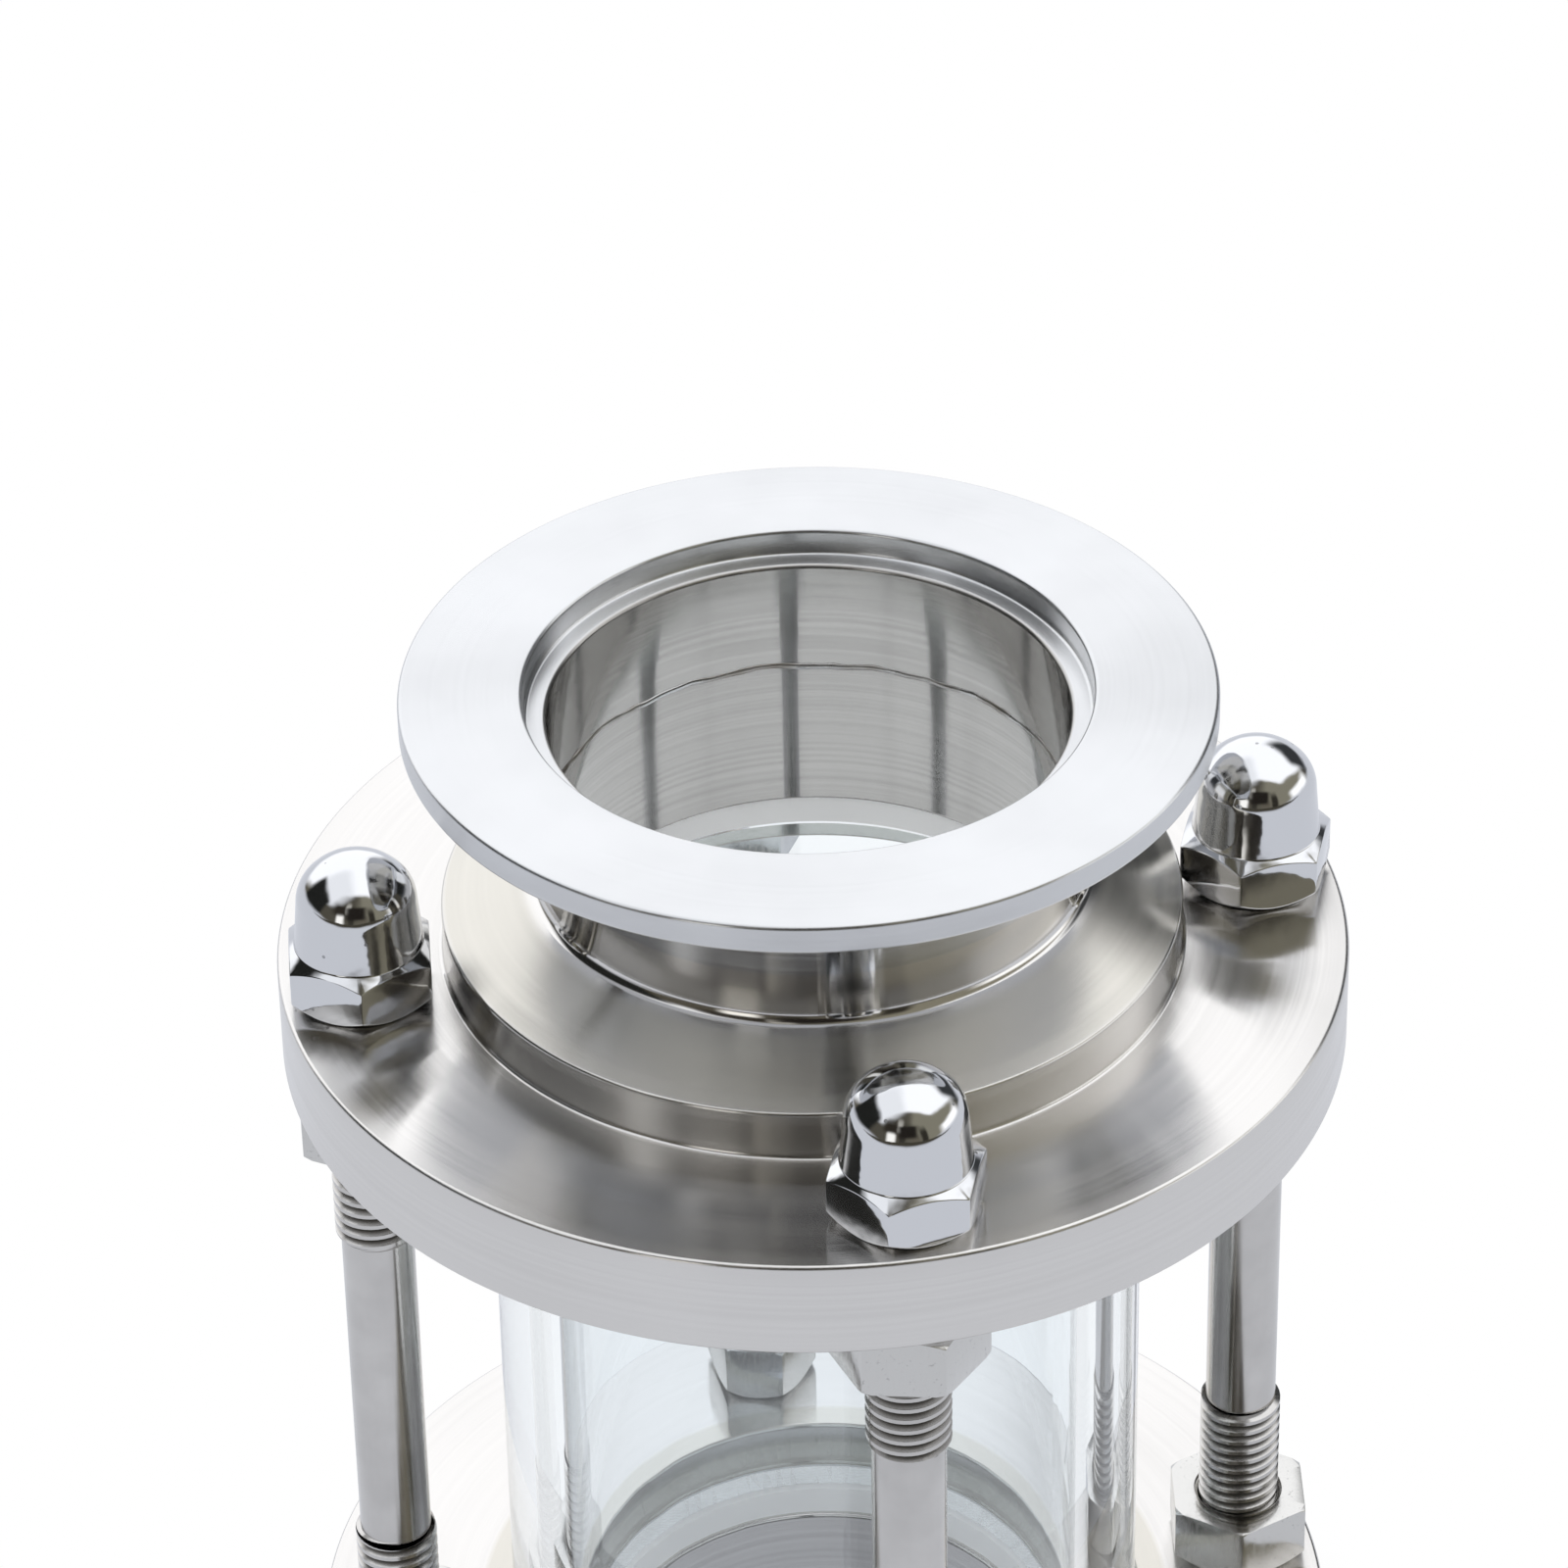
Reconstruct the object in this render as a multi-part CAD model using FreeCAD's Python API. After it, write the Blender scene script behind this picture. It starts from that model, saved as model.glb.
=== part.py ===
import FreeCAD, Part
import math
import os

# Vacuum viewport: a glass tube clamped between two round end plates by four
# tie rods, with a clamp flange welded to the neck of each plate.
# Millimetres. +Z runs along the bore, the origin is the centre of the lower
# sealing face, and the tie rods stand on the X and Y axes.

# Clamp flange and neck, each end
clamp_flange_diameter = 75.0
clamp_rim_thickness = 2.8
clamp_back_angle = 15.0
clamp_back_fillet = 2.0
centring_recess_diameter = 52.2
centring_recess_depth = 2.6
bore_diameter = 48.0
neck_wall = 1.5
ferrule_length = 14.0
neck_length = 19.1

# End plate, from its neck out to its rim
shoulder_height = 3.7
shoulder_fillet = 1.4
collar_wall = 3.1
collar_height = 4.9
collar_fillet = 0.4
plate_thickness = 9.8
nut_collar_gap = 1.5
rod_edge_distance = 7.5

# Glass tube and its two flat gaskets
glass_bore_step = 1.0
glass_wall = 6.0
glass_length = 82.5
glass_insertion = 5.0
glass_end_bevel = 0.5
glass_clearance = 0.4
gasket_thickness = 3.0
gasket_inner_inset = 0.6
gasket_clearance = 0.1

# Tie rods
rod_thread_diameter = 8.0
rod_thread_length = 37.0
rod_shank_diameter = 6.9
rod_end_bevel = 0.8
rod_runout_length = 0.8
rod_hole_clearance = 0.5

# Nuts
nut_across_flats = 13.0
nut_seat_diameter = 11.8
nut_chamfer_angle = 33.0
nut_hole_bevel = 0.4
hex_nut_height = 6.5
hex_nut_free_diameter = 14.2
acorn_hex_height = 5.8
acorn_seat_angle = 42.0
acorn_height = 14.9
acorn_dome_diameter = 11.9
acorn_dome_draft = 4.5
acorn_corner_radius = 4.0
acorn_crown_radius = 6.1
acorn_thread_grip = 9.0
acorn_hole_spare = 1.6
acorn_drill_angle = 59.0

# Small edges
machined_bevel = 0.3
sealing_edge_radius = 0.4

# How far up each rod was screwed from the middle
rod_shifts = {"front": 1.2, "right": 1.0, "back": 0.2, "left": -0.4}

# Where each nut stopped: the angle of one corner from -Y towards +X, in degrees
upper_acorn_turns = {"front": -24.0, "right": -24.5, "back": 12.0, "left": -7.0}
upper_hex_turns = {"front": -45.0, "right": -18.0, "back": 27.0, "left": -5.0}
lower_acorn_turns = {"front": 8.0, "right": -22.0, "back": 16.0, "left": 25.0}
lower_hex_turns = {"front": 20.0, "right": -10.0, "back": 13.5, "left": 10.0}

# Sizes that follow
bore_radius = bore_diameter / 2
neck_radius = bore_radius + neck_wall
glass_inner_radius = bore_radius + glass_bore_step
glass_outer_radius = glass_inner_radius + glass_wall
seat_radius = glass_outer_radius + glass_clearance
collar_radius = seat_radius + collar_wall
bolt_circle_radius = collar_radius + nut_collar_gap + nut_across_flats / 2
plate_radius = bolt_circle_radius + rod_edge_distance
thread_radius = rod_thread_diameter / 2
rod_hole_radius = thread_radius + rod_hole_clearance
collar_top = neck_length + shoulder_height
plate_face = collar_top + collar_height
plate_back = plate_face + plate_thickness
seat_floor = plate_back - glass_insertion - gasket_thickness
total_height = 2 * (plate_back - glass_insertion) + glass_length

AXIS = FreeCAD.Vector(0, 0, 1)
ORIGIN = FreeCAD.Vector(0, 0, 0)
BOLT_PLACES = {"front": -90, "right": 0, "back": 90, "left": 180}


def point(radius, height):
    return FreeCAD.Vector(radius, 0, height)


def corner(radius, height, round_off=0.0, bevel=0.0):
    """One corner of a turned profile, sharp unless it is rounded or bevelled."""
    return point(radius, height), round_off, bevel


def profile_edges(corners):
    """Straight edges of a closed outline, joined by its rounds and bevels."""
    spans = []
    joins = []
    for index, (apex, round_off, bevel) in enumerate(corners):
        before = (corners[index - 1][0] - apex).normalize()
        after = (corners[(index + 1) % len(corners)][0] - apex).normalize()
        half_angle = before.getAngle(after) / 2
        setback = bevel
        if round_off:
            setback = round_off / math.tan(half_angle)
        start = apex + before * setback
        end = apex + after * setback
        spans.append((start, end))
        if round_off:
            inward = (before + after).normalize()
            reach = round_off / math.sin(half_angle) - round_off
            joins.append(Part.Arc(start, apex + inward * reach, end).toShape())
        elif bevel:
            joins.append(Part.makeLine(start, end))
        else:
            joins.append(None)
    edges = []
    for index, (_, end) in enumerate(spans):
        next_start = spans[(index + 1) % len(spans)][0]
        if joins[index]:
            edges.append(joins[index])
        edges.append(Part.makeLine(end, next_start))
    return edges


def turn(edges):
    """Solid of revolution about the bore axis."""
    wire = Part.Wire(Part.__sortEdges__(edges))
    return Part.Face(wire).revolve(ORIGIN, AXIS, 360)


def at_end(shape, side):
    """Puts a piece drawn down from its own sealing face on that end of the part."""
    if side == "lower":
        return shape
    return shape.mirror(point(0, total_height / 2), AXIS)


def bolt_centre(place):
    angle = math.radians(BOLT_PLACES[place])
    x = bolt_circle_radius * math.cos(angle)
    y = bolt_circle_radius * math.sin(angle)
    return FreeCAD.Vector(x, y, 0)


def make_ferrule():
    """Clamp flange with its centring recess and the tube stub behind it."""
    flange_radius = clamp_flange_diameter / 2
    recess_radius = centring_recess_diameter / 2
    back_rise = (flange_radius - neck_radius) * math.tan(math.radians(clamp_back_angle))
    return turn(profile_edges([
        corner(recess_radius, 0, bevel=machined_bevel),
        corner(flange_radius, 0, bevel=machined_bevel),
        corner(flange_radius, clamp_rim_thickness, round_off=machined_bevel),
        corner(neck_radius, clamp_rim_thickness + back_rise, round_off=clamp_back_fillet),
        corner(neck_radius, ferrule_length),
        corner(bore_radius, ferrule_length),
        corner(bore_radius, centring_recess_depth, round_off=sealing_edge_radius),
        corner(recess_radius, centring_recess_depth, round_off=machined_bevel),
    ]))


def make_end_plate():
    """Plate turned from one blank: neck stub, conical shoulder, collar and glass seat."""
    plate = turn(profile_edges([
        corner(neck_radius, ferrule_length),
        corner(neck_radius, neck_length, round_off=shoulder_fillet),
        corner(collar_radius, collar_top, bevel=machined_bevel),
        corner(collar_radius, plate_face, round_off=collar_fillet),
        corner(plate_radius, plate_face, bevel=machined_bevel),
        corner(plate_radius, plate_back, bevel=machined_bevel),
        corner(seat_radius, plate_back, bevel=machined_bevel),
        corner(seat_radius, seat_floor),
        corner(bore_radius, seat_floor, bevel=machined_bevel),
        corner(bore_radius, ferrule_length),
    ]))
    hole = turn(profile_edges([
        corner(0, plate_face),
        corner(rod_hole_radius + machined_bevel, plate_face),
        corner(rod_hole_radius, plate_face + machined_bevel),
        corner(rod_hole_radius, plate_back - machined_bevel),
        corner(rod_hole_radius + machined_bevel, plate_back),
        corner(0, plate_back),
    ]))
    for place in BOLT_PLACES:
        plate = plate.cut(hole.translated(bolt_centre(place)))
    return plate


def make_gasket():
    """Flat ring on the floor of the glass seat."""
    inner_radius = bore_radius + gasket_inner_inset
    outer_radius = seat_radius - gasket_clearance
    return turn(profile_edges([
        corner(inner_radius, seat_floor),
        corner(outer_radius, seat_floor),
        corner(outer_radius, seat_floor + gasket_thickness),
        corner(inner_radius, seat_floor + gasket_thickness),
    ]))


def make_glass_tube():
    bottom = seat_floor + gasket_thickness
    top = bottom + glass_length
    return turn(profile_edges([
        corner(glass_inner_radius, bottom, bevel=glass_end_bevel),
        corner(glass_outer_radius, bottom, bevel=glass_end_bevel),
        corner(glass_outer_radius, top, bevel=glass_end_bevel),
        corner(glass_inner_radius, top, bevel=glass_end_bevel),
    ]))


def make_tie_rod():
    """Stud with a thread-sized length at each end and a slimmer shank between them."""
    shank_radius = rod_shank_diameter / 2
    bottom = plate_face - acorn_thread_grip
    top = total_height - bottom
    lower_thread_end = bottom + rod_thread_length
    upper_thread_end = top - rod_thread_length
    return turn(profile_edges([
        corner(0, bottom),
        corner(thread_radius, bottom, bevel=rod_end_bevel),
        corner(thread_radius, lower_thread_end - rod_runout_length),
        corner(shank_radius, lower_thread_end),
        corner(shank_radius, upper_thread_end),
        corner(thread_radius, upper_thread_end + rod_runout_length),
        corner(thread_radius, top, bevel=rod_end_bevel),
        corner(0, top),
    ]))


def hexagon_prism(height, seat_angle, top_diameter):
    """Hexagon bar with a corner towards -Y and both ends turned to a chamfer."""
    corner_radius = nut_across_flats / 2 / math.cos(math.radians(30))
    seat_slope = math.tan(math.radians(seat_angle))
    top_slope = math.tan(math.radians(nut_chamfer_angle))
    bottom_radius = nut_seat_diameter / 2
    top_radius = top_diameter / 2
    corners = []
    for index in range(7):
        angle = math.radians(60 * index - 90)
        corners.append(FreeCAD.Vector(math.cos(angle), math.sin(angle), 0) * corner_radius)
    bar = Part.Face(Part.makePolygon(corners)).extrude(point(0, height))
    turned = turn(profile_edges([
        corner(0, 0),
        corner(bottom_radius, 0),
        corner(corner_radius, (corner_radius - bottom_radius) * seat_slope),
        corner(corner_radius, height - (corner_radius - top_radius) * top_slope),
        corner(top_radius, height),
        corner(0, height),
    ]))
    return bar.common(turned)


def make_hex_nut():
    """Plain nut whose chamfered side goes against the plate."""
    hole = turn(profile_edges([
        corner(0, 0),
        corner(thread_radius + nut_hole_bevel, 0),
        corner(thread_radius, nut_hole_bevel),
        corner(thread_radius, hex_nut_height - nut_hole_bevel),
        corner(thread_radius + nut_hole_bevel, hex_nut_height),
        corner(0, hex_nut_height),
    ]))
    return hexagon_prism(hex_nut_height, nut_chamfer_angle, hex_nut_free_diameter).cut(hole)


def dome_edges():
    """Outline of the closed cap: drafted flank, tight corner arc, shallow crown arc."""
    draft = math.radians(acorn_dome_draft)
    slope = math.tan(draft)
    crown_centre = acorn_height - acorn_crown_radius
    arc_gap = acorn_crown_radius - acorn_corner_radius
    flank_at_centre = acorn_dome_diameter / 2 - slope * (crown_centre - acorn_hex_height)
    inset = flank_at_centre - acorn_corner_radius / math.cos(draft)
    root = (inset * slope) ** 2 - (1 + slope ** 2) * (inset ** 2 - arc_gap ** 2)
    rise = (inset * slope + math.sqrt(root)) / (1 + slope ** 2)
    corner_centre = point(inset - slope * rise, crown_centre + rise)
    crown_angle = math.atan2(rise, corner_centre.x)
    mid_angle = (draft + crown_angle) / 2
    upper_angle = (crown_angle + math.pi / 2) / 2

    def around(centre, radius, angle):
        return centre + point(math.cos(angle), math.sin(angle)) * radius

    base = point(acorn_dome_diameter / 2 + slope * acorn_hex_height, 0)
    flank_top = around(corner_centre, acorn_corner_radius, draft)
    corner_mid = around(corner_centre, acorn_corner_radius, mid_angle)
    corner_top = around(corner_centre, acorn_corner_radius, crown_angle)
    crown_mid = around(point(0, crown_centre), acorn_crown_radius, upper_angle)
    tip = point(0, acorn_height)
    return [
        Part.makeLine(ORIGIN, base),
        Part.makeLine(base, flank_top),
        Part.Arc(flank_top, corner_mid, corner_top).toShape(),
        Part.Arc(corner_top, crown_mid, tip).toShape(),
        Part.makeLine(tip, ORIGIN),
    ]


def make_acorn_nut():
    """Closed nut: hexagon, domed cap and a blind hole with its drill point."""
    hole_depth = acorn_thread_grip + acorn_hole_spare
    drill_tip = thread_radius / math.tan(math.radians(acorn_drill_angle))
    hole = turn(profile_edges([
        corner(0, 0),
        corner(thread_radius + nut_hole_bevel, 0),
        corner(thread_radius, nut_hole_bevel),
        corner(thread_radius, hole_depth),
        corner(0, hole_depth + drill_tip),
    ]))
    hexagon = hexagon_prism(acorn_hex_height, acorn_seat_angle, nut_seat_diameter)
    return hexagon.fuse(turn(dome_edges())).removeSplitter().cut(hole)


def seat_nut(nut, place, height, points_up, degrees):
    """Stands a nut on a plate face at that height, turned about its rod."""
    seated = nut.copy()
    if not points_up:
        seated.rotate(ORIGIN, FreeCAD.Vector(1, 0, 0), 180)
    seated.rotate(ORIGIN, AXIS, degrees)
    seated.translate(bolt_centre(place) + point(0, height))
    return seated


def export(name, shape):
    solids = shape.Solids
    if len(solids) == 1:
        shape = solids[0]
    if not shape.isValid():
        raise ValueError(name + " is not a valid solid")
    shape.exportStep("parts/" + name + ".step")
    box = shape.BoundBox
    print(name, len(solids), round(shape.Volume, 1), round(box.ZMin, 2), round(box.ZMax, 2))


def main():
    os.makedirs("parts", exist_ok=True)
    ferrule = make_ferrule()
    end_plate = make_end_plate()
    gasket = make_gasket()
    for side in ("lower", "upper"):
        export(side + "_kf_ferrule", at_end(ferrule, side))
        export(side + "_end_plate", at_end(end_plate, side))
        export(side + "_gasket", at_end(gasket, side))
    export("glass_tube", make_glass_tube())

    rod = make_tie_rod()
    acorn_nut = make_acorn_nut()
    hex_nut = make_hex_nut()
    for place in BOLT_PLACES:
        export("tie_rod_" + place, rod.translated(bolt_centre(place) + point(0, rod_shifts[place])))
        upper_face = total_height - plate_face
        upper_back = total_height - plate_back
        nuts = {
            "upper_acorn_nut_": (acorn_nut, upper_face, True, upper_acorn_turns[place]),
            "upper_hex_nut_": (hex_nut, upper_back, False, upper_hex_turns[place]),
            "lower_hex_nut_": (hex_nut, plate_back, True, lower_hex_turns[place]),
            "lower_acorn_nut_": (acorn_nut, plate_face, False, lower_acorn_turns[place]),
        }
        for name, (nut, height, points_up, degrees) in nuts.items():
            export(name + place, seat_nut(nut, place, height, points_up, degrees))
    print("total height", total_height)


main()
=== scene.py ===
import math

import bpy
from mathutils import Matrix, Vector


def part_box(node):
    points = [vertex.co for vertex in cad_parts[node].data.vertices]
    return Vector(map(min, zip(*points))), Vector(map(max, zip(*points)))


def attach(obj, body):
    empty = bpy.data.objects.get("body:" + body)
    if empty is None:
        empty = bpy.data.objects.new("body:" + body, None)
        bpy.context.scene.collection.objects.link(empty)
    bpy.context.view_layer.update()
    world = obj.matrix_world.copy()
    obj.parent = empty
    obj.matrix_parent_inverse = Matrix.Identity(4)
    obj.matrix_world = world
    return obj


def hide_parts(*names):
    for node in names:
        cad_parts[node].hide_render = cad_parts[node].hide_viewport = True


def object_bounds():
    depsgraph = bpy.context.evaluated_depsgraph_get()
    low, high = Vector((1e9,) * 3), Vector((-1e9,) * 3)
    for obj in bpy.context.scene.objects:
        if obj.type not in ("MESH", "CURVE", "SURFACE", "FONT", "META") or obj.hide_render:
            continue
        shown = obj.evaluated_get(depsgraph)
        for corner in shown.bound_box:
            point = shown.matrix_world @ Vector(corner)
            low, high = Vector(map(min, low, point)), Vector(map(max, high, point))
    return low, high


bl_info = {
    "name": "Sight Glass Dressing",
    "version": (1, 0, 0),
    "blender": (4, 5, 0),
    "location": "3D View > Sidebar > Sight Glass",
    "description": "Finishes a clamped sight glass: turned steel, chrome nuts, cut threads, clear glass",
    "category": "Object",
}

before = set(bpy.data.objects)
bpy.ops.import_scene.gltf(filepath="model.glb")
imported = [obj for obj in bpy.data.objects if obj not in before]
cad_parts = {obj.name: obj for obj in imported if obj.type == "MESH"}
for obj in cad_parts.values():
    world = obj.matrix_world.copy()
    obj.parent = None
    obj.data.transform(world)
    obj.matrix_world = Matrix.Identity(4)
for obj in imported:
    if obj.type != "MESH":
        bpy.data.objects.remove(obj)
CAD_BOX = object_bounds()
PLACES = ("front", "right", "back", "left")
ENDS = ("upper", "lower")
UP = (0.0, 0.0, 1.0)
WHITE = (1.0, 1.0, 1.0, 1.0)

# The level of the object's middle, about which its two like ends mirror each other.
MIDDLE = (CAD_BOX[0][2] + CAD_BOX[1][2]) / 2

# Steps in a rounded edge, and in one turn of a ring, a nut, a hole or plain bar, and a thread.
ROUND_STEPS = 6
RING_STEPS = 240
NUT_STEPS = 112
HOLE_STEPS = 64
THREAD_STEPS = 40

# Where one finish or painted shade passes into the next, in metres: radii at the neck's foot and at the
# outer edge of the shoulder's painted shade, the width of the border of the bore's painted shade, and
# the rim's end below the sealing face.
NECK_EDGE = (0.0262, 0.0275)
SHOULDER_EDGE = (0.0346, 0.0340)
BORE_BLEND = 0.0002
FLANGE_EDGE = (0.0030, 0.0028)

# The studio: the floor's shade round the object and its end towards the camera, in metres; how far
# it runs up into the backdrop, as a sine; the light on matt surfaces; colours that metal mirrors.
FLOOR_SHADE = (0.035, 0.075)
FLOOR_END = (-0.45, -0.90)
BACKDROP_RISE = 0.16
MATT_LIGHT = 0.9
MIRRORED_WHITE = "#F4F7FF"
FLOOR_END_COLOUR = "#4A463C"
ROOM_COLOUR = "#6A665A"


# Sizes and colours that a user would change.

def length(name, description, default):
    return bpy.props.FloatProperty(
        name=name, description=description, default=default, unit="LENGTH", precision=5, min=0.0)


def share(name, description, default):
    return bpy.props.FloatProperty(
        name=name, description=description, default=default, subtype="FACTOR", min=0.0, max=1.0)


def angle(name, description, degrees):
    return bpy.props.FloatProperty(
        name=name, description=description, default=math.radians(degrees), subtype="ANGLE")


def hex_colour(name, description, default):
    return bpy.props.StringProperty(name=name, description=description, default=default)


def turns(name, *degrees):
    return bpy.props.FloatVectorProperty(
        name=name, description="Of the front, right, back and left nut", size=4, unit="ROTATION",
        default=[math.radians(turn) for turn in degrees])


class ThreadSizes(bpy.types.PropertyGroup):
    pitch: length("Pitch", "Rise of the thread in one turn", 0.00125)
    crest_radius: length("Crest radius", "Radius over the thread's crests", 0.00396)
    root_radius: length("Root radius", "Radius at the bottom of the groove", 0.00329)
    crest_flat: length("Crest flat", "Width of the flat left on each crest", 0.00042)
    root_flat: length("Root flat", "Width of the bottom of the groove", 0.00010)
    thread_length: length("Thread length", "Cut length at each end of a rod", 0.037)
    shank_radius: length("Shank radius", "Radius of the plain middle of a rod", 0.00345)
    end_bevel: length("End bevel", "Bevel on the rod's ends", 0.0008)
    runout: length("Run-out", "Length over which the crests fade into the shank", 0.0008)


class NutSizes(bpy.types.PropertyGroup):
    across_flats: length("Across flats", "Spanner size of both kinds of nut", 0.013)
    seat_diameter: length("Seat diameter", "Ring that rests on the plate", 0.0118)
    free_diameter: length("Free diameter", "Hexagon nut's unchamfered side", 0.0142)
    chamfer_angle: angle("Chamfer", "Slope of the turned corners", 33)
    acorn_seat_angle: angle("Domed nut's seat", "Slope of its corners next to the plate", 42)
    acorn_hexagon: length("Domed nut's hexagon", "Height of its hexagon", 0.0058)
    hexagon_height: length("Hexagon nut", "Height of the plain nut", 0.0065)
    acorn_height: length("Domed nut", "Height over the dome", 0.0149)
    dome_radius: length("Dome radius", "Dome where it meets the hexagon", 0.00595)
    dome_draft: angle("Dome draft", "Lean of the dome's flank", 4.5)
    corner_radius: length("Corner radius", "Arc between flank and crown", 0.0040)
    crown_radius: length("Crown radius", "Arc of the crown", 0.0061)
    bore_radius: length("Bore radius", "Threaded hole", 0.004)
    acorn_bore: length("Blind depth", "Depth of the domed nut's hole", 0.0106)
    hole_bevel: length("Hole bevel", "Countersink at a hole's mouth", 0.0004)
    drill_angle: angle("Drill point", "Half angle of the hole's end", 59)
    edge_bevel: length("Edge roll", "Width of the worn edges", 0.00012)
    upper_acorn_turns: turns("Upper domed nuts' angles", -24, -24.5, 12, -7)
    upper_hex_turns: turns("Upper hexagon nuts' angles", -45, -18, 27, -5)
    lower_acorn_turns: turns("Lower domed nuts' angles", 8, -22, 16, 25)
    lower_hex_turns: turns("Lower hexagon nuts' angles", 20, -10, 13.5, 10)


class EndSizes(bpy.types.PropertyGroup):
    flange_radius: length("Flange radius", "Clamp flange, to its rim", 0.0375)
    rim: length("Rim", "Height of the clamp flange's rim", 0.0028)
    back_angle: angle("Back slope", "Cone that the clamp grips", 15)
    back_fillet: length("Back fillet", "Round between cone and neck", 0.0020)
    recess_radius: length("Recess radius", "Seat of the centring ring", 0.0261)
    recess_depth: length("Recess depth", "Depth of that seat", 0.0026)
    bore_radius: length("Bore radius", "Clear bore", 0.0240)
    neck_radius: length("Neck radius", "Outside of the tube stub", 0.0255)
    weld_height: length("Weld", "Sealing face to the weld seam", 0.0140)
    neck_length: length("Neck", "Sealing face to the foot of the neck", 0.0191)
    neck_fillet: length("Neck fillet", "Round at the foot of the neck", 0.0014)
    shoulder_height: length("Shoulder", "Rise of the conical shoulder", 0.0037)
    collar_radius: length("Collar radius", "Collar round the glass seat", 0.0345)
    collar_height: length("Collar", "Height of the collar over the plate", 0.0049)
    collar_fillet: length("Collar fillet", "Round at the collar's foot", 0.0004)
    plate_radius: length("Plate radius", "Outside of the plate", 0.0500)
    plate_thickness: length("Plate", "Thickness where the rods pass", 0.0098)
    seat_radius: length("Seat radius", "Pocket for the glass", 0.0314)
    seat_depth: length("Seat depth", "Depth of that pocket", 0.0080)
    edge_round: length("Edge round", "Broken machined edges", 0.0004)
    hole_bevel: length("Hole bevel", "Bevel at the mouth of a rod's hole", 0.0003)
    sealing_edge: length("Sealing edge", "Round at the bore's mouth", 0.0004)
    rod_circle: length("Rod circle", "Axis to the rods", 0.0425)
    rod_hole: length("Rod hole", "Radius of a rod's hole", 0.0045)


class WeldSizes(bpy.types.PropertyGroup):
    height: length("Height", "How far the bead stands proud of the bore", 0.00012)
    width: length("Width", "Width of the bead along the bore", 0.00060)
    wander: length("Wander", "How far the seam strays from its circle", 0.00060)


class SteelLook(bpy.types.PropertyGroup):
    turned_colour: hex_colour("Turned steel", "Turned plates", "#D9D7D4")
    polished_colour: hex_colour("Polished steel", "Flanges, necks and bores", "#D3D4D5")
    # Painted shade: the sloping shoulder is painted in this darker, warmer colour.
    shoulder_shade_colour: hex_colour("Shoulder", "Steel tinted by the heat of the weld", "#CCC9C1")
    # Painted shade: the inside of the bore is painted in this darker colour.
    bore_shade_colour: hex_colour("Painted bore shade", "Inside of the flanges' bore", "#B8B6B3")
    bore_edge: length("Bore edge", "Radius inside which the bore's colour shows", 0.0244)
    weld_colour: hex_colour("Weld", "Heat-browned weld metal", "#8C8377")
    rod_colour: hex_colour("Rod steel", "Tie rods", "#CDCBC8")
    # Painted shade: the bottom of the thread's grooves is painted in this colour.
    groove_shade_colour: hex_colour("Painted groove shade", "Bottom of the thread's grooves", "#5E5A52")
    nut_colour: hex_colour("Nut steel", "Hexagon nuts", "#CDCCC9")
    chrome_colour: hex_colour("Chrome", "Domed nuts", "#D6D7D9")
    turned_roughness: share("Turned roughness", "Across the lathe's grooves", 0.16)
    polished_roughness: share("Polished roughness", "Neck and bore", 0.09)
    flange_roughness: share("Flange roughness", "Face and back of the clamp flange", 0.22)
    turned_grain: share("Turned grain", "How strongly the grooves spread a reflection one way", 1.0)
    groove_spacing: length("Groove spacing", "Distance between the lathe lines that show", 0.0007)


class GlassLook(bpy.types.PropertyGroup):
    tint: hex_colour("Tint", "Colour of the glass wall", "#F6FAFD")
    rubber_colour: hex_colour("Gasket", "White silicone rubber", "#F1F2F2")
    rubber_glow: share("Gasket glow", "Light that the milky gasket carries", 0.22)


class StudioLook(bpy.types.PropertyGroup):
    floor_colour: hex_colour("Floor", "Pale floor under the object", "#F0F0F1")
    mirrored_floor: share("Mirrored floor", "Brightness of the floor as the metal mirrors it", 0.86)
    shaded_floor: share("Shaded floor", "The same, in the shade under the object", 0.70)
    heading: angle("Heading", "Camera's turn from the object's +Y towards +X", 10.470)
    pitch: angle("Pitch", "Camera's tilt down from level", 34.926)
    roll: angle("Roll", "Camera's turn about its own line of sight", -1.157)
    distance: length("Distance", "Camera to the object's axis, along the floor", 0.52764)
    height: length("Height", "Camera above the floor", 0.50506)
    bearing: angle("Bearing", "Camera's place round the object, from -Y towards -X", 10.73)
    focal: length("Focal length", "For a sensor 36 mm wide", 0.16056)


# Small helpers.

def linear(hex_text):
    """sRGB hex text as the linear colour that a shader needs."""
    def channel(pair):
        value = int(pair, 16) / 255
        return value / 12.92 if value <= 0.04045 else ((value + 0.055) / 1.055) ** 2.4
    digits = hex_text.lstrip("#")
    return (channel(digits[0:2]), channel(digits[2:4]), channel(digits[4:6]), 1.0)


def shade(colour, strength):
    """A linear colour made lighter or darker."""
    return tuple(strength * c for c in colour[:3]) + (1.0,)


def add_node(tree, kind, inputs=None, **settings):
    """Adds a shader node with its settings; each input is set to a value or linked to a socket."""
    made = tree.nodes.new(kind)
    for name, value in settings.items():
        setattr(made, name, value)
    for key, value in (inputs or {}).items():
        socket = made.inputs[key]
        if isinstance(value, bpy.types.NodeSocket):
            tree.links.new(value, socket)
        else:
            socket.default_value = value
    return made


def calculate(tree, operation, *values, **settings):
    """Arithmetic with sockets and numbers."""
    return add_node(tree, "ShaderNodeMath", dict(enumerate(values)),
                    operation=operation, **settings).outputs[0]


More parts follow.
